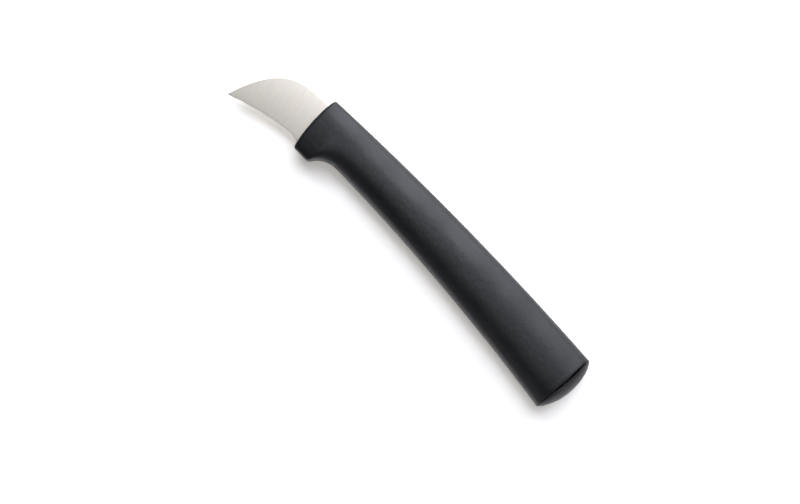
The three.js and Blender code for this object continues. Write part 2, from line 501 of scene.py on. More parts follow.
class OvalLoft:
    """A Geometry Nodes tree that skins ovals over a rail.

    The rail is a row of points along the ridge of a piece. Each carries how far the skin stands from it to
    the back, the belly and the side, and the section's lean, swell, middle, guard, block and fullness. A
    section that has shrunk to a line or a point closes the skin.
    """

    INPUTS = (
        ("Section Steps", "NodeSocketInt"),
        ("Section Power", "NodeSocketFloat"),
        ("Column Crowding", "NodeSocketFloat"),
        ("Swell Shift", "NodeSocketFloat"),
        ("Swell Reach", "NodeSocketFloat"),
        ("Guard Power", "NodeSocketFloat"),
        ("Guard Droop", "NodeSocketFloat"),
        ("Parting Ridge Height", "NodeSocketFloat"),
        ("Parting Ridge Reach", "NodeSocketFloat"),
        ("Material", "NodeSocketMaterial"),
    )
    # Inputs of a skin without crowding, swell, guard or parting ridge
    PLAIN = {
        "Column_Crowding": 0.0,
        "Swell_Shift": 0.0,
        "Swell_Reach": 1.0,
        "Guard_Power": 2.0,
        "Guard_Droop": 0.0,
        "Parting_Ridge_Height": 0.0,
        "Parting_Ridge_Reach": 1.0,
    }
    # What the rail carries at each point, three values in each
    ATTRIBUTES = ("reach", "slant", "guard")
    # Share of the crowding in a column's turn, how late the guard droops, and the width that is welded shut
    CROWDING_SHARE = -0.5
    DROOP_POWER = 1.5
    WELD = SLIVER * MM

    def __init__(self) -> None:
        """Builds the tree."""
        self.tree = bpy.data.node_groups.new("oval_loft", "GeometryNodeTree")
        self.tree.interface.new_socket("Rail", in_out="INPUT", socket_type="NodeSocketGeometry")
        self.tree.interface.new_socket("Skin", in_out="OUTPUT", socket_type="NodeSocketGeometry")
        self.identifiers = {
            name: self.tree.interface.new_socket(name, in_out="INPUT", socket_type=kind).identifier
            for name, kind in self.INPUTS
        }
        self._link()

    def _link(self) -> None:
        """Adds the nodes that turn a flat grid into the skin."""
        tree = self.tree
        do = partial(compute, tree)
        given = add_node(tree, "NodeGroupInput").outputs
        steps, power = given["Section Steps"], given["Section Power"]
        stations = add_node(tree, "GeometryNodeAttributeDomainSize", {"Geometry": given["Rail"]})
        columns = add_node(tree, "FunctionNodeIntegerMath", {0: steps, 1: 1}, operation="ADD").outputs[0]
        counts = {"Vertices X": stations.outputs["Point Count"], "Vertices Y": columns}
        grid = add_node(tree, "GeometryNodeMeshGrid", counts)
        index = add_node(tree, "GeometryNodeInputIndex").outputs["Index"]
        row, column = (
            add_node(tree, "FunctionNodeIntegerMath", {0: index, 1: columns}, operation=operation).outputs[0]
            for operation in ("DIVIDE_FLOOR", "MODULO")
        )

        vector = {"data_type": "FLOAT_VECTOR"}
        sources = [add_node(tree, "GeometryNodeInputPosition").outputs["Position"]]
        for name in self.ATTRIBUTES:
            named = add_node(tree, "GeometryNodeInputNamedAttribute", {"Name": name}, **vector)
            sources.append(named.outputs[0])
        sampled = []
        for source in sources:
            sample = add_node(tree, "GeometryNodeSampleIndex", domain="POINT", **vector)
            tree.links.new(given["Rail"], sample.inputs["Geometry"])
            tree.links.new(source, sample.inputs["Value"])
            tree.links.new(row, sample.inputs["Index"])
            sampled.append(add_node(tree, "ShaderNodeSeparateXYZ", {0: sample.outputs[0]}).outputs)
        (station, ridge, _), (to_back, to_belly, half) = sampled[:2]
        (lean, swell, middle), (guard, block, fuller) = sampled[2:]

        # Columns crowd towards the parting line, where the skin turns most
        turn = do("MULTIPLY", do("DIVIDE", column, steps), 2 * math.pi)
        wave = do("SINE", do("MULTIPLY", turn, 2.0))
        pull = do("MULTIPLY", wave, given["Column Crowding"])
        crowd = do("MULTIPLY_ADD", pull, self.CROWDING_SHARE, turn)

        # How far a point lies from the ridge, from 0 there to 1 at the edge, towards the back or the belly
        facing = do("COSINE", crowd)
        far = do("POWER", do("ABSOLUTE", facing), do("DIVIDE", 2.0, power))
        way = do("SIGN", facing)
        belly = do("LESS_THAN", way, 0.0)
        blocky = do("MULTIPLY", belly, block)

        # The side of the oval, which is blockier at the guard and droops there
        own = do("ADD", power, fuller)
        full, reach = (
            add_node(tree, "ShaderNodeMix", {0: share, 2: first, 3: second}, data_type="FLOAT").outputs[0]
            for share, first, second in ((blocky, own, given["Guard Power"]), (belly, to_back, to_belly))
        )
        rest = do("SUBTRACT", 1.0, do("POWER", far, full), use_clamp=True)
        oval = do("POWER", rest, do("DIVIDE", 1.0, full))
        slope = do("MULTIPLY", blocky, given["Guard Droop"])
        lost = do("MULTIPLY", do("POWER", far, self.DROOP_POWER), slope)
        thick = do("MULTIPLY", half, do("SUBTRACT", 1.0, lost))
        height = do("MULTIPLY", oval, thick)
        z = do("MULTIPLY", height, do("SIGN", do("SINE", crowd)))

        # The edge of the oval, with the fine ridge that the two halves of the mould leave along it
        ridge_height = given["Parting Ridge Height"]
        bump = remap(tree, height, (0.0, given["Parting Ridge Reach"]), (ridge_height, 0.0))
        stand = do("ADD", do("SUBTRACT", reach, ridge_height), bump)
        plain = do("MULTIPLY_ADD", do("MULTIPLY", far, way), stand, ridge)

        # The guard carries the belly edge down and stretches the skin above it
        eased = do("MULTIPLY", far, do("SUBTRACT", 2.0, far))
        drop = do("MULTIPLY", do("MULTIPLY", eased, belly), guard)
        y = do("SUBTRACT", plain, drop)

        # The station, with the section's lean and its swell towards the blade
        width = do("ADD", do("ADD", to_back, to_belly), guard)
        off = do("MULTIPLY", do("SUBTRACT", y, middle), 2.0)
        moved = do("SUBTRACT", do("DIVIDE", off, width), given["Swell Shift"])
        square = do("POWER", do("DIVIDE", moved, given["Swell Reach"]), 2.0)
        bow = do("MULTIPLY", do("SUBTRACT", 1.0, square, use_clamp=True), swell)
        x = do("SUBTRACT", do("MULTIPLY_ADD", y, lean, station), bow)

        point = add_node(tree, "ShaderNodeCombineXYZ", {0: x, 1: y, 2: z}).outputs[0]
        skin = grid.outputs["Mesh"]
        for kind, inputs in (
            ("GeometryNodeSetPosition", {"Position": point}),
            ("GeometryNodeMergeByDistance", {"Distance": self.WELD}),
            ("GeometryNodeSetShadeSmooth", {}),
            ("GeometryNodeRealizeInstances", {}),
            ("GeometryNodeSetMaterial", {"Material": given["Material"]}),
        ):
            skin = add_node(tree, kind, {"Geometry": skin, **inputs}).outputs[0]
        add_node(tree, "NodeGroupOutput", {0: skin})

    def skin(self, name: str, rail: list[Section], material: Material, **sizes: float) -> Object:
        """Skins a rail.

        Args:
            name: Name of the object.
            rail: The sections in order, the first and the last shrunk to a line or a point.
            material: Finish of the skin.
            **sizes: The tree's inputs that aren't plain, with underscores for spaces and lengths in metres.

        Returns:
            A closed plain mesh in the knife's own axes.
        """
        mesh = bpy.data.meshes.new(name)
        mesh.from_pydata([(s.station * MM, s.ridge * MM, 0.0) for s in rail], [], [])
        reach = [(s.to_back * MM, s.to_belly * MM, s.half * MM) for s in rail]
        slant = [(s.lean, s.swell * MM, s.middle * MM) for s in rail]
        guard = [(s.guard * MM, s.block, s.fullness) for s in rail]
        for attribute, rows in zip(self.ATTRIBUTES, (reach, slant, guard)):
            data = mesh.attributes.new(attribute, "FLOAT_VECTOR", "POINT").data
            data.foreach_set("vector", np.array(rows, np.float32).ravel())
        rail_object = new_object(name + "_rail", mesh)
        modifier = rail_object.modifiers.new("oval_loft", "NODES")
        modifier.node_group = self.tree
        for key, value in {**self.PLAIN, **sizes, "Material": material}.items():
            modifier[self.identifiers[key.replace("_", " ")]] = value
        made = applied(rail_object, modifier)
        bpy.data.objects.remove(rail_object)
        made.name = name
        turn_outwards(made)
        return new_object(name, made)


def turn_outwards(mesh: Mesh) -> None:
    """Makes every face point outwards.

    Args:
        mesh: A closed mesh.
    """
    with editing(mesh) as work:
        bmesh.ops.recalc_face_normals(work, faces=work.faces)
        if work.calc_volume(signed=True) < 0:
            bmesh.ops.reverse_faces(work, faces=work.faces)


class Outline:
    """A closed flat outline in the blade's plane, built up from lines, arcs and curves."""

    # Steps of an arc and of a curve, and the distance under which two points count as one
    STEPS = 24
    CURVE_STEPS = 72
    SAME_POINT = 1e-6

    def __init__(self, start: Point) -> None:
        """Starts the outline at a point."""
        self.points: list[Point] = [start]

    def line(self, end: Point) -> "Outline":
        """Goes straight to a point."""
        self.points.append(end)
        return self

    def arc(self, centre: Point, radius: float, start: float, end: float) -> "Outline":
        """Follows an arc, from one angle to another, in radians.

        Args:
            centre: Centre of the arc.
            radius: Radius of the arc.
            start: Angle of its first point.
            end: Angle of its last point.

        Returns:
            The outline.
        """
        for angle in np.linspace(start, end, self.STEPS + 1):
            self.points.append((centre[0] + radius * math.cos(angle), centre[1] + radius * math.sin(angle)))
        return self

    def curve(self, pull: Point, end_pull: Point, end: Point) -> "Outline":
        """Follows a cubic curve to a point.

        Args:
            pull: Point that the curve leaves towards.
            end_pull: Point that the curve arrives from.
            end: Last point.

        Returns:
            The outline.
        """
        corners = np.array([self.points[-1], pull, end_pull, end])
        for share in np.linspace(0, 1, self.CURVE_STEPS + 1)[1:]:
            rest = 1 - share
            weights = np.array([rest**3, 3 * rest**2 * share, 3 * rest * share**2, share**3])
            self.points.append(tuple(weights @ corners))
        return self

    def ring(self, inset: float) -> np.ndarray:
        """Draws the outline in.

        Args:
            inset: How far each point moves inwards.

        Returns:
            One row for each point of the outline.
        """
        points = np.array(self.points)
        keep = np.linalg.norm(points - np.roll(points, 1, axis=0), axis=1) > self.SAME_POINT
        points = points[keep]
        ahead = np.roll(points, -1, axis=0) - points
        ahead /= np.linalg.norm(ahead, axis=1)[:, None]
        tangent = ahead + np.roll(ahead, 1, axis=0)
        tangent /= np.linalg.norm(tangent, axis=1)[:, None]
        turned = np.stack((-tangent[:, 1], tangent[:, 0]), axis=1)
        area = np.sum(points[:, 0] * np.roll(points[:, 1], -1) - points[:, 1] * np.roll(points[:, 0], -1))
        return points + turned * inset * np.sign(area)


def clear_slivers(mesh: Mesh) -> None:
    """Closes up the hair-thin faces that cuts leave where two edges nearly meet.

    Args:
        mesh: The mesh that was cut.
    """
    with editing(mesh) as work:
        bmesh.ops.triangulate(work, faces=work.faces)
        bmesh.ops.dissolve_degenerate(work, dist=SLIVER * MM, edges=work.edges)


def stack_rings(name: str, rings: list[np.ndarray]) -> Object:
    """Closes a stack of rings into a solid.

    Args:
        name: Name of the object.
        rings: Rings of equal counts of points, one row for each point.

    Returns:
        A closed mesh in the knife's own axes.
    """
    count = len(rings[0])
    last = (len(rings) - 1) * count
    faces = [tuple(range(count)), tuple(range(last, last + count))]
    for low in range(0, last, count):
        for place in range(count):
            ahead = (place + 1) % count
            faces.append((low + place, low + ahead, low + count + ahead, low + count + place))
    mesh = bpy.data.meshes.new(name)
    mesh.from_pydata((np.concatenate(rings) * MM).tolist(), [], faces)
    turn_outwards(mesh)
    return new_object(name, mesh)


def plate(name: str, outline: Outline, half: float, rounding: float = 0.0, grow: float = 0.0) -> Object:
    """Makes a flat plate about the blade's middle plane.

    Args:
        name: Name of the object.
        outline: Outline of the plate.
        half: Half of its thickness.
        rounding: Radius of its edges.
        grow: How far it stands out from the outline.

    Returns:
        A closed mesh in the knife's own axes.
    """
    levels = [(0.0, -half), (0.0, half)]
    if rounding:
        quarter = np.linspace(0, math.pi / 2, ROUNDING_STEPS + 1)
        rise = [(rounding * (1 - math.sin(a)), half - rounding * (1 - math.cos(a))) for a in quarter]
        levels = [(inset, -z) for inset, z in rise] + [(inset, z) for inset, z in reversed(rise)]
    flat = [(outline.ring(inset - grow), z) for inset, z in levels]
    return stack_rings(name, [np.column_stack((ring, np.full(len(ring), z))) for ring, z in flat])


def finish_piece(
    piece: Object, material: Material, origin: Vector, node: str, crease: float
) -> None:
    """Clears a mesh of slivers, moves it into the part's frame, dresses it and sets it on the body in place
    of its CAD node.

    Args:
        piece: The mesh, in the knife's own axes.
        material: Its finish.
        origin: Where the knife's own axes start, in the part's frame, in metres.
        node: The CAD node that it stands for.
        crease: Angle in degrees above which an edge stays sharp.
    """
    mesh = piece.data
    clear_slivers(mesh)
    mesh.transform(Matrix.Translation(origin))
    mesh.materials.clear()
    mesh.materials.append(material)
    mesh.shade_smooth()
    mesh.set_sharp_from_angle(angle=math.radians(crease))
    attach(piece, BODY)
    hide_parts(node)
    LOG.info("%s stands for %s: %d faces", piece.name, node, len(mesh.polygons))


# The knife


@dataclass(frozen=True)
class Blade:
    """The short hooked blade and its tang, one piece of sheet.

    Attributes:
        thickness: Thickness of the sheet.
        grind: Width of the ground face, which thins from the spine to the cutting edge.
        belly: How full that face is, where 0 would be flat.
        hone: Width of the honed edge, and the half thickness where it starts.
        hone_stops: Points of the wheel's profile near the honed edge, in widths of that edge.
        grind_steps: Points of the profile from there on.
        edge: Half thickness of the cutting edge.
        edge_radius: Radius of the hollow cutting edge.
        heel: Station and depth of the edge's highest place.
        heel_drop: How far the edge turns down at the handle, and over which length.
        tip_reach: Distance from the front of the handle to the tip.
        spine: Height of the tang's back edge.
        spine_lift: How far the spine stands above that edge at the handle.
        spine_fall: How steeply the spine falls away from the handle, in degrees.
        spine_pulls: Pulls of the spine's curve, at the handle and at the tip.
        tip_angle: Slope of the spine at the tip, in degrees.
        tang_width: Width of the tang.
        tang_end: Station of the tang's end.
        root: Station of the blade's shoulder inside the handle, and the radius in its corner.
        lock_radius: Radius of the holes that lock the tang.
        lock_stations: Stations of those holes.
        rounding: Radius of the stamped edges.
        past: How far the blank reaches past the cutting edge.
        pass_angles: Angles of the wheel's pass, from inside the handle to past the tip, in radians.
        pass_steps: Steps of that pass.
    """

    thickness: float = 1.5
    grind: float = 16.4
    belly: float = 0.6
    hone: Point = (0.35, 0.07)
    hone_stops: tuple[float, ...] = (0.0, 0.8, 0.95, 1.0, 1.05, 1.3, 2.0)
    grind_steps: int = 24
    edge: float = 0.03
    edge_radius: float = 104.5
    heel: Point = (10.3, 7.365)
    heel_drop: Point = (1.1, 4.6)
    tip_reach: float = 29.9
    spine: float = 7.6
    spine_lift: float = 0.69
    spine_fall: float = 6.0
    spine_pulls: Point = (11.03, 26.92)
    tip_angle: float = 74.25
    tang_width: float = 9.0
    tang_end: float = 64.0
    root: Point = (6.0, 2.0)
    lock_radius: float = 2.5
    lock_stations: Point = (24.0, 46.0)
    rounding: float = 0.06
    past: float = 1.5
    pass_angles: Point = (1.626, 2.06)
    pass_steps: int = 145

    @property
    def wheel(self) -> Point:
        """Centre of the wheel that grinds the edge."""
        return self.heel[0], -self.heel[1] - self.edge_radius

    @property
    def tang_middle(self) -> float:
        """Height of the tang's middle line."""
        return self.spine - self.tang_width / 2

    def edge_depth(self, station: float) -> float:
        """Depth of the cutting edge at a station."""
        run = station - self.heel[0]
        return self.heel[1] + self.edge_radius - math.sqrt(self.edge_radius**2 - run**2)

    def drop(self, station: float) -> float:
        """How far the cutting edge turns down at a station, on its way into the handle."""
        depth, run = self.heel_drop
        return depth * min(max(1 + station / run, 0.0), 1.0) ** 2

    def half_thickness(self, distance: float) -> float:
        """Half thickness of the ground blade.

        Args:
            distance: Distance from the cutting edge.

        Returns:
            Half thickness of the steel there.
        """
        width, start = self.hone
        if distance <= width:
            return self.edge + (start - self.edge) * distance / width
        share = min((distance - width) / (self.grind - width), 1.0)
        return start + (self.thickness / 2 - start) * share * (1 + self.belly * (1 - share))

    def grinding_wheel(self, gap: float) -> Object:
        """Makes the part of the grooved wheel that passes over the blade.

        Args:
            gap: How far it stays off the steel.

        Returns:
            A closed mesh in the knife's own axes.
        """
        stops = [stop * self.hone[0] for stop in self.hone_stops]
        distances = (*stops[:-1], *np.linspace(stops[-1], self.grind, self.grind_steps))
        side = [(distance - gap, self.half_thickness(distance) + gap) for distance in distances]
        top, clear = side[-1][0], 2 * self.thickness
        back = -self.grind
        profile = [(back, -clear), (top, -clear)]
        profile += [(distance, -half) for distance, half in reversed(side)]
        profile += side
        profile += [(top, clear), (back, clear)]
        rings = []
        for angle in np.linspace(*self.pass_angles, self.pass_steps):
            ring = []
            for distance, z in profile:
                radius = self.edge_radius + distance
                x = self.wheel[0] + radius * math.cos(angle)
                ring.append((x, self.wheel[1] + radius * math.sin(angle) - self.drop(x), z))
            rings.append(np.array(ring))
        return stack_rings("grinding_wheel", rings)

    def blank(self) -> Outline:
        """Draws the stamped blank, which reaches past the cutting edge.

        Returns:
            Its outline, from the heel round the tang, along the spine and to the tip.
        """
        station, radius = self.root
        low = self.tang_middle - self.tang_width / 2
        outline = Outline((station, -self.edge_depth(station) - self.past)).line((station, low - radius))
        outline.arc((station + radius, low - radius), radius, math.pi, math.pi / 2)
        end = (self.tang_end - self.tang_width / 2, self.tang_middle)
        outline.arc(end, self.tang_width / 2, -math.pi / 2, math.pi / 2).line((0.0, self.spine))
        fall, lean = math.radians(self.spine_fall), math.radians(self.tip_angle)
        shoulder = self.spine + self.spine_lift
        start_pull, end_pull = self.spine_pulls
        tip = (-self.tip_reach, -self.edge_depth(-self.tip_reach))
        outline.line((0.0, shoulder)).curve(
            (-start_pull * math.cos(fall), shoulder - start_pull * math.sin(fall)),
            (tip[0] + end_pull * math.cos(lean), tip[1] + end_pull * math.sin(lean)),
            tip,
        )
        return outline.line((tip[0] - self.past * math.cos(lean), tip[1] - self.past * math.sin(lean)))

    def shape(self, name: str, gap: float = 0.0) -> Object:
        """Stamps, drills and grinds the blade, or the room that the plastic leaves for it.

        Args:
            name: Name of the object.
            gap: How far the shape stands off the steel.

        Returns:
            A closed mesh in the knife's own axes.
        """
        half = self.thickness / 2 + gap
        piece = plate(name, self.blank(), half, 0.0 if gap else self.rounding, gap)
        for station in self.lock_stations:
            radius = self.lock_radius - gap
            hole = Outline((station + radius, self.tang_middle))
            hole.arc((station, self.tang_middle), radius, 0.0, 2 * math.pi * (1 - 1 / Outline.STEPS))
            carve(piece, plate("lock_hole", hole, 2 * half), Cut.AWAY)
        carve(piece, self.grinding_wheel(gap), Cut.AWAY)
        return piece

    def build(self, origin: Vector) -> Object:
        """Makes the blade.

        Args:
            origin: Where the knife's own axes start, in the part's frame, in metres.

        Returns:
            The blade, in place.
        """
        piece = self.shape("ground_blade")
        wheel = origin + Vector((self.wheel[0], self.wheel[1], 0.0)) * MM
        steel = SatinStainless(wheel, self.edge_radius).material()
        finish_piece(piece, steel, origin, "blade", GROUND_CREASE)
        return piece


@dataclass(frozen=True)
class HandleForm:
    """The outer form of the handle, which the end cap carries on.

    Attributes:
        length: Distance between the handle's ends along its axis.
        seam: Station of the seam, where the cap meets the handle.
        thickness: Thickness of the handle, and of its front.
        taper: Length over which the front thins.
        crown: Station and height of the bowed back's highest place.
        back_radius: Radius of the bowed back.
        neck: Station and depth of the belly at the neck.
        belly_radius: Radius of the bowed belly.
        groove_radius: Radius of the finger groove.
        guard: Depth of the guard, and the radius of its corner.
        slant: Lean of the front and of the butt, in degrees.
        bow: How far the front swells towards the blade, and over which length.
        power: Fullness of the oval sections, where 2 would be an ellipse.
        front_power: Fullness of the front's section, and the length over which it fades into the others.
        block_power: How fast the guard's blocky section fades where the guard gets shallower.
        wall: Wall round the core of the butt.
        overrun: How far a cut runs past the face that it meets.
        belly_start: Station where the guard's flat starts, past the front's rim.
        belly_steps: Points along the guard's flat, its corner, the finger groove and the bow.
        steps: Columns of a skin round a section.
    """

    length: float = 130.0
    seam: float = 129.3
    thickness: Point = (13.0, 11.4)
    taper: float = 42.0
    crown: Point = (75.0, 13.7)
    back_radius: float = 1220.0
    neck: Point = (17.2, 5.6)
    belly_radius: float = 900.0
    groove_radius: float = 11.4
    guard: Point = (11.35, 2.2)
    slant: Point = (4.2, 2.1)
    bow: Point = (0.75, 20.0)
    power: float = 2.5
    front_power: Point = (3.3, 24.0)
    block_power: float = 3.0
    wall: float = 3.0
    overrun: float = 1.0
    belly_start: float = 0.8
    belly_steps: tuple[int, int, int, int] = (9, 13, 33, 90)
    steps: int = 160

    def back(self, station: float) -> float:
        """Height of the back at a station."""
        run = station - self.crown[0]
        return self.crown[1] - self.back_radius + math.sqrt(self.back_radius**2 - run**2)

    def body(self, station: float) -> float:
        """Depth of the belly at a station, without the guard."""
        run = max(0.0, station - self.neck[0])
        return self.neck[1] + self.belly_radius - math.sqrt(self.belly_radius**2 - run**2)

    def belly_line(self) -> list[Point]:
        """Traces the belly from the front to the butt.

        Returns:
            Stations and depths: the guard's flat, its round corner, the finger groove and the long bow.
        """
        depth, corner = self.guard
        station, neck_depth = self.neck
        groove_y = -neck_depth - self.groove_radius
        corner_y = corner - depth
        rise = corner_y - groove_y
        corner_x = station - math.sqrt((self.groove_radius + corner) ** 2 - rise**2)
        tangent = math.atan2(rise, corner_x - station)
        on_flat, on_corner, in_groove, on_bow = self.belly_steps
        line = [(x, depth) for x in np.linspace(self.belly_start, corner_x, on_flat)[:-1]]
        for angle in np.linspace(-math.pi / 2, tangent - math.pi, on_corner)[:-1]:
            line.append((corner_x + corner * math.cos(angle), -corner_y - corner * math.sin(angle)))
        for angle in np.linspace(tangent, math.pi / 2, in_groove)[:-1]:
            x = station + self.groove_radius * math.cos(angle)
            line.append((x, -groove_y - self.groove_radius * math.sin(angle)))
        line += [(x, self.body(x)) for x in np.linspace(station, self.seam, on_bow)]
        return line

    def half_thickness(self, station: float) -> float:
        """Half thickness of the handle at a station."""
        full, front = self.thickness
        return (front + (full - front) * ease(station / self.taper)) / 2

    def section(self, station: float, inset: float = 0.0, depth: float | None = None) -> Section:
        """Cuts across the handle.

        Args:
            station: Where.
            inset: How far the section is drawn in.
            depth: Depth of the belly edge there, if the guard or the groove sets it.

        Returns:
            The section.
        """
        body = self.body(station)
        back = self.back(station)
        ridge = (back - body) / 2
        share = min(station / self.length, 1.0)
        slant = self.slant[1] * share - self.slant[0] * (1 - share)
        height, run = self.bow
        guard = 0.0 if depth is None else depth - body
        power, fade = self.front_power
        return Section(
            station=station,
            ridge=ridge,
            to_back=back - inset - ridge,
            to_belly=ridge + body - inset,
            half=self.half_thickness(station) - inset,
            lean=math.tan(math.radians(slant)),
            swell=height * max(0.0, 1 - station / run) ** 2,
            guard=guard,
            block=(max(guard, 0.0) / (self.guard[0] - self.neck[1])) ** self.block_power,
            fullness=(power - self.power) * (1 - ease(station / fade)),
        )


@dataclass(frozen=True)
class Handle:
    """The moulded handle: an oval skin, the slot for the blade and the cored butt.

    Attributes:
        form: Its outer form.
        front_rim: Radius of the front edge.
        butt_rim: Radius of the edge that meets the cap.
        parting: Height and half width of the fine ridge that the mould leaves along the edges.
        core: Station where the core of the butt starts.
        slot_gap: Play between the blade and the plastic.
        rim_steps: Points across half of the front face, and round the front's rim.
        butt_steps: Points round the butt's rim, and across half of the butt's face.
        butt_inset: How far the first of those on the face is drawn in.
        crowding: How far columns crowd towards the parting line.
        guard_block: Fullness of the guard's section, and the share of its thickness lost towards the edge.
    """

    form: HandleForm
    front_rim: float = 1.0
    butt_rim: float = 0.12
    parting: Point = (0.04, 0.16)
    core: float = 84.0
    slot_gap: float = 0.03
    rim_steps: int = 9
    butt_steps: tuple[int, int] = (6, 3)
    butt_inset: float = 2.0
    crowding: float = 0.9
    guard_block: Point = (9.0, 0.28)

    def rail(self) -> list[Section]:
        """Lists the sections of the skin.

        Returns:
            Sections from the middle of the front face, over its rim and along the handle, to the butt.
        """
        form = self.form
        depth = form.guard[0]
        face = np.linspace(form.half_thickness(0.0), self.front_rim, self.rim_steps)[:-1]
        rail = [form.section(0.0, inset, depth) for inset in face]
        for angle in np.linspace(0, math.pi / 2, self.rim_steps):
            station = self.front_rim * (1 - math.cos(angle))
            rail.append(form.section(station, self.front_rim * (1 - math.sin(angle)), depth))
        end = form.seam
        for station, belly in form.belly_line():
            rail.append(form.section(min(station, end - self.butt_rim), depth=belly))
        for angle in np.linspace(0, math.pi / 2, self.butt_steps[0])[1:]:
            station = end - self.butt_rim * (1 - math.sin(angle))
            rail.append(form.section(station, self.butt_rim * (1 - math.cos(angle))))
        face = np.linspace(self.butt_inset, form.half_thickness(end), self.butt_steps[1])
        return rail + [form.section(end, inset) for inset in face]

    def core_rail(self, cap: "EndCap") -> list[Section]:
        """Lists the sections of the core of the butt, with the seat of the cap's snap bead.

        Args:
            cap: The cap that closes it.

        Returns:
            Sections from the core's closed end to past the butt.
        """
        form = self.form
        wall = form.wall
        start, end = form.section(self.core, wall), form.seam + form.overrun
        rail = [form.section(self.core, start.half + wall), start]
        rail += list(reversed(cap.seat_rail(wall)[1:]))
        closed = form.section(end, wall)
        return [*rail, closed, form.section(end, closed.half + wall)]

    def build(self, origin: Vector, loft: OvalLoft, blade: Blade, cap: "EndCap") -> Object:
        """Moulds the handle round the blade's tang.

        Args:
            origin: Where the knife's own axes start, in the part's frame, in metres.
            loft: The tree that skins its sections.
            blade: The blade that it holds.
            cap: The cap that closes it.

        Returns:
            The handle, in place.
        """
        plastic = MouldedPolypropylene().material()
        sizes = {
            "Section_Steps": self.form.steps,
            "Section_Power": self.form.power,
            "Column_Crowding": self.crowding,
            "Guard_Power": self.guard_block[0],
            "Guard_Droop": self.guard_block[1],
        }
        ridge = {"Parting_Ridge_Height": self.parting[0] * MM, "Parting_Ridge_Reach": self.parting[1] * MM}
        piece = loft.skin("moulded_handle", self.rail(), plastic, **sizes, **ridge)
        carve(piece, blade.shape("blade_slot", self.slot_gap), Cut.AWAY)
        carve(piece, loft.skin("butt_core", self.core_rail(cap), plastic, **sizes), Cut.AWAY)
        finish_piece(piece, plastic, origin, "handle", MOULDED_CREASE)
        return piece


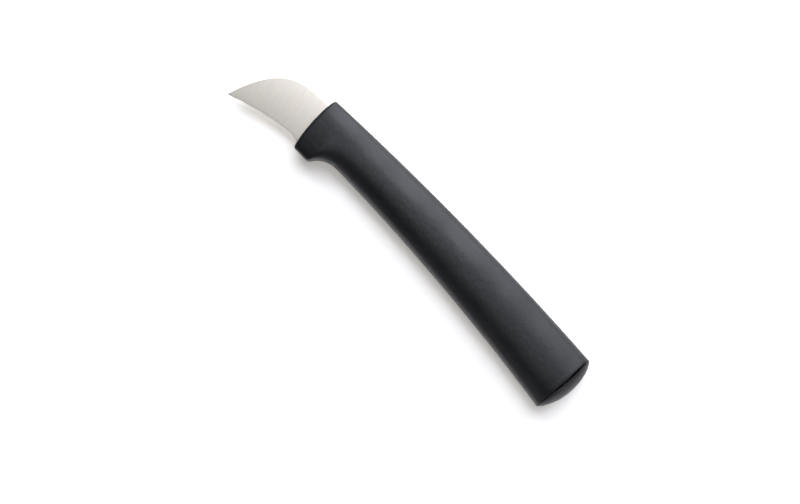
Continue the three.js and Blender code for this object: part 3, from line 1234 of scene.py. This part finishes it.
@dataclass(frozen=True)
class EndCap:
    """The domed cap that closes the cored butt, with the spigot and snap bead that hold it.

    Attributes:
        form: The form of the handle that it carries on.
        seam: Width of the gap between the cap and the handle, at the edges and where it is widest.
        seam_lens: Where that is, and how far the wide part reaches from there, in halves of the butt's width.
        clear: How far the tool that opens the gap reaches past the skin.
        dome: Height of the dome above the handle's end.
        soft: Radius of the rim's edge at the seam.
        rim: Height of the rim, over which the dome settles from the seam's line to its own lean.
        play: Play between the spigot and the core.
        seat: How far the solid part's rim stands off the handle's end.
        slant: Lean of the dome, which its rim widens towards the back to reach, in degrees.
        power: Fullness of the dome, seen from the side of the blade and from the back.
        spigot: Length of the spigot, and the thickness of its wall.
        relief: Start and depth of the groove round the spigot's root, which lets the cap's rim close down.
        web: Thickness of the floor that closes the spigot under that groove.
        bead: Start, width and height of the snap bead.
        rings: Rings of the dome.
        ring_power: How far those rings crowd towards the rim.
    """

    form: HandleForm
    seam: Point = (0.06, 0.85)
    seam_lens: Point = (0.2, 0.72)
    clear: float = 0.5
    dome: float = 3.66
    soft: float = 0.05
    rim: float = 0.4
    play: float = 0.3
    seat: float = 0.3
    slant: float = 3.0
    power: Point = (0.74, 0.85)
    spigot: Point = (9.0, 1.6)
    relief: Point = (0.3, 2.2)
    web: float = 2.0
    bead: tuple[float, float, float] = (3.0, 2.6, 0.6)
    rings: int = 48
    ring_power: float = 1.5

    def seat_rail(self, inset: float) -> list[Section]:
        """Lists the sections of the spigot's side, or of its seat in the handle.

        Args:
            inset: How far the side is drawn in from the handle's skin.

        Returns:
            Sections from the butt inwards.
        """
        start, width, height = self.bead
        runs = (
            (0.0, 0.0),
            (start, 0.0),
            (start + width / 3, height),
            (start + width * 2 / 3, height),
            (start + width, 0.0),
            (self.spigot[0], 0.0),
        )
        return [self.form.section(self.form.seam - run, inset - rise) for run, rise in runs]

    def spigot_rail(self) -> list[Section]:
        """Lists the sections of the spigot.

        Returns:
            Sections from its tip, past the groove round its root, to inside the dome.
        """
        form = self.form
        inset, inner = form.wall + self.play, form.half_thickness(form.seam)
        groove, deep = form.seam - self.relief[0], inset + self.relief[1]
        joined = form.seam + self.seam[1] + self.rim
        turns = ((groove, inset), (groove, deep), (joined, deep), (joined, inner))
        tip = form.section(form.seam - self.spigot[0], inner)
        side = list(reversed(self.seat_rail(inset)))[:-1]
        return [tip, *side, *(form.section(station, drawn) for station, drawn in turns)]

    def pocket_rail(self) -> list[Section]:
        """Lists the sections of the spigot's hollow.

        Returns:
            Sections from past the spigot's open end to the floor that closes it.
        """
        form = self.form
        inner = form.half_thickness(form.seam)
        hollow = form.wall + self.play + self.spigot[1]
        start, end = form.seam - self.spigot[0] - form.overrun, form.seam - self.web
        turns = ((start, inner), (start, hollow), (end, hollow), (end, inner))
        return [form.section(station, drawn) for station, drawn in turns]

    def gap_rail(self) -> list[Section]:
        """Lists the sections of the tool that opens the seam's gap.

        Returns:
            Sections from inside the handle's end to the cap's side of the gap.
        """
        form = self.form
        inner = form.half_thickness(form.seam)
        near, far = form.seam - self.clear, form.seam + self.seam[0]
        handle_side = [form.section(near, inset) for inset in (inner, -self.clear)]
        gape = self.seam[0] - self.seam[1]
        cap_side = [replace(form.section(far, inset), swell=gape) for inset in (-self.clear, inner)]
        return handle_side + cap_side

    def dome_rail(self) -> list[Section]:
        """Lists the sections of the dome.

        Returns:
            Sections from the middle of the cap's flat side, round its rim, to the top of the dome.
        """
        end = self.form.section(self.form.seam)
        base = self.form.seam + self.seam[0]
        start, tip = base + self.soft, self.form.length + self.seat + self.dome
        slope = math.tan(math.radians(self.slant))
        insets = (end.half, end.half / 2, self.soft)
        rail = [self.form.section(base, inset) for inset in insets]
        for angle in np.linspace(0, math.pi / 2, self.rings):
            station = start + (tip - start) * math.sin(angle) ** self.ring_power
            rises = [max(station - begin, 0.0) / (tip - begin) for begin in (start + self.rim, start)]
            wide, thick = (math.sqrt(1 - rise ** (1 / power)) for rise, power in zip(rises, self.power))
            settled = min((station - start) / self.rim, 1.0)
            rail.append(
                replace(
                    end,
                    station=station,
                    to_back=end.to_back * wide,
                    to_belly=end.to_belly * wide,
                    half=end.half * thick,
                    lean=end.lean + (slope - end.lean) * settled,
                )
            )
        return rail

    def build(self, origin: Vector, loft: OvalLoft) -> Object:
        """Moulds the cap.

        Args:
            origin: Where the knife's own axes start, in the part's frame, in metres.
            loft: The tree that skins its sections.

        Returns:
            The cap, in place.
        """
        plastic = MouldedPolypropylene(name="moulded_black_polypropylene_cap").material()
        sizes = {
            "Section_Steps": self.form.steps,
            "Section_Power": self.form.power,
            "Swell_Shift": self.seam_lens[0],
            "Swell_Reach": self.seam_lens[1],
        }
        piece = loft.skin("domed_end_cap", self.dome_rail(), plastic, **sizes)
        carve(piece, loft.skin("seam_gap", self.gap_rail(), plastic, **sizes), Cut.AWAY)
        carve(piece, loft.skin("cap_spigot", self.spigot_rail(), plastic, **sizes), Cut.ON)
        carve(piece, loft.skin("cap_pocket", self.pocket_rail(), plastic, **sizes), Cut.AWAY)
        finish_piece(piece, plastic, origin, "end_cap", MOULDED_CREASE)
        return piece


# The studio


@dataclass(frozen=True)
class SoftBox:
    """A rectangular lamp with a diffuser, aimed at the knife.

    Attributes:
        name: Name of the lamp.
        tilt: Angle from straight above, in degrees.
        heading: Direction that it stands in, in degrees from +X towards +Y.
        distance: Distance from the knife, in metres.
        size: Width across its heading, and length along it, in metres.
        radiance: Brightness of the diffuser, where 1 shows as white.
        colour: Colour of the light.
        mirrored: Whether shiny surfaces mirror the lamp, or only its light and its shadow show.
    """

    name: str
    tilt: float
    heading: float
    distance: float
    size: Point
    radiance: float
    colour: str = "#ffffff"
    mirrored: bool = True

    def hang(self) -> Object:
        """Hangs the lamp.

        Returns:
            The lamp.
        """
        data = bpy.data.lights.new(self.name, "AREA")
        data.shape = "RECTANGLE"
        data.size, data.size_y = self.size
        data.energy = self.radiance * math.pi * self.size[0] * self.size[1]
        data.color = linear(self.colour)[:3]
        lamp = new_object(self.name, data)
        tilt, heading = math.radians(self.tilt), math.radians(self.heading)
        outward = Vector((math.cos(heading), math.sin(heading), 0.0))
        back = outward * math.sin(tilt) + Vector((0.0, 0.0, math.cos(tilt)))
        across = Vector((0.0, 0.0, 1.0)).cross(outward)
        lamp.matrix_world = aimed(back * self.distance, back, across)
        lamp.visible_glossy = self.mirrored
        return lamp


@dataclass(frozen=True)
class Studio:
    """The floor, the lamps and the overhead camera.

    Attributes:
        floor_radius: Radius of the floor, in metres.
        floor_steps: Straight steps round the floor.
        backdrop: Colour of the backdrop.
        eye: Place of the camera in the part's frame.
        azimuth: Direction of the camera, in degrees from the side of -Y towards +X.
        elevation: Height of the camera above the horizon, in degrees.
        lens: Focal length.
        sensor: Width of the sensor.
        lamps: The lamps.
    """

    floor_radius: float = 12.0
    floor_steps: int = 96
    backdrop: str = "#ffffff"
    eye: tuple[float, float, float] = (20.507, -25.730, 706.112)
    azimuth: float = 46.229
    elevation: float = 88.0
    lens: float = 87.02
    sensor: float = 36.0
    lamps: tuple[SoftBox, ...] = (
        SoftBox("back_soft_box", 50.0, 103.0, 1.0, (0.95, 1.62), 4.05, "#f1f4ff"),
        SoftBox("upper_soft_box", 28.0, 150.0, 1.0, (0.62, 0.48), 0.64),
        SoftBox("overhead_soft_box", 4.0, 90.0, 1.0, (0.5, 0.7), 0.5),
        SoftBox("tip_key", 45.0, 160.0, 0.9, (0.3, 0.3), 7.1, mirrored=False),
        SoftBox("butt_fill", 60.0, 300.0, 0.3, (0.2, 0.2), 0.46),
        SoftBox("wall_fill", 72.0, 20.0, 1.2, (1.6, 0.6), 0.5),
        SoftBox("room_fill", 66.0, 240.0, 1.2, (1.6, 0.7), 0.25),
    )

    def lay_floor(self) -> Object:
        """Lays the floor under the knife.

        Returns:
            The floor.
        """
        mesh = bpy.data.meshes.new("studio_floor")
        with editing(mesh) as work:
            bmesh.ops.create_circle(work, cap_ends=True, radius=self.floor_radius, segments=self.floor_steps)
        mesh.materials.append(WhiteFloor().material())
        floor = new_object("studio_floor", mesh)
        return floor

    def light(self) -> None:
        """Hangs the lamps and a backdrop, which the eye sees and which gives no light."""
        for lamp in self.lamps:
            LOG.info("%s hangs", lamp.hang().name)
        world = bpy.data.worlds.new("white_backdrop")
        tree = empty_tree(world)
        seen = add_node(tree, "ShaderNodeLightPath").outputs["Is Camera Ray"]
        backdrop = add_node(tree, "ShaderNodeBackground", {"Color": linear(self.backdrop), "Strength": seen})
        add_node(tree, "ShaderNodeOutputWorld", {"Surface": backdrop.outputs["Background"]})
        bpy.context.scene.world = world

    def set_camera(self) -> Object:
        """Sets up the camera.

        Returns:
            The camera.
        """
        data = bpy.data.cameras.new("overhead_camera")
        data.sensor_fit = "HORIZONTAL"
        data.sensor_width = self.sensor
        data.lens = self.lens
        camera = new_object("overhead_camera", data)
        turn, lift = math.radians(self.azimuth), math.radians(self.elevation)
        back = Vector((math.sin(turn) * math.cos(lift), -math.cos(turn) * math.cos(lift), math.sin(lift)))
        right = Vector((math.cos(turn), math.sin(turn), 0.0))
        camera.matrix_world = aimed(Vector(self.eye) * MM, back, right)
        bpy.context.scene.camera = camera
        return camera


def knife_origin(blade: Blade, form: HandleForm) -> Vector:
    """Finds where the knife's own axes start in the part's frame.

    Args:
        blade: The blade, whose tang ends at a known station.
        form: The handle's form, whose belly is deepest at the butt.

    Returns:
        The front of the handle, on its axis and in the blade's middle plane, in metres.
    """
    low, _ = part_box("handle")
    _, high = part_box("blade")
    return Vector(
        (
            high.x - blade.tang_end * MM,
            low.y + form.body(form.length) * MM,
            low.z + form.thickness[0] / 2 * MM,
        )
    )


def main() -> None:
    """Builds the knife piece by piece, then the studio round it."""
    logging.basicConfig(level=logging.INFO, format="%(message)s")
    bpy.context.scene.view_settings.view_transform = "Standard"
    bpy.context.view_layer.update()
    LOG.info("the frame holds %s", ", ".join(sorted(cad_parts)))
    studio = Studio()
    studio.set_camera()
    form = HandleForm()
    blade, handle, cap = Blade(), Handle(form), EndCap(form)
    origin = knife_origin(blade, form)
    loft = OvalLoft()
    blade.build(origin)
    handle.build(origin, loft, blade, cap)
    cap.build(origin, loft)
    studio.lay_floor()
    studio.light()


if __name__ == "__main__":
    main()
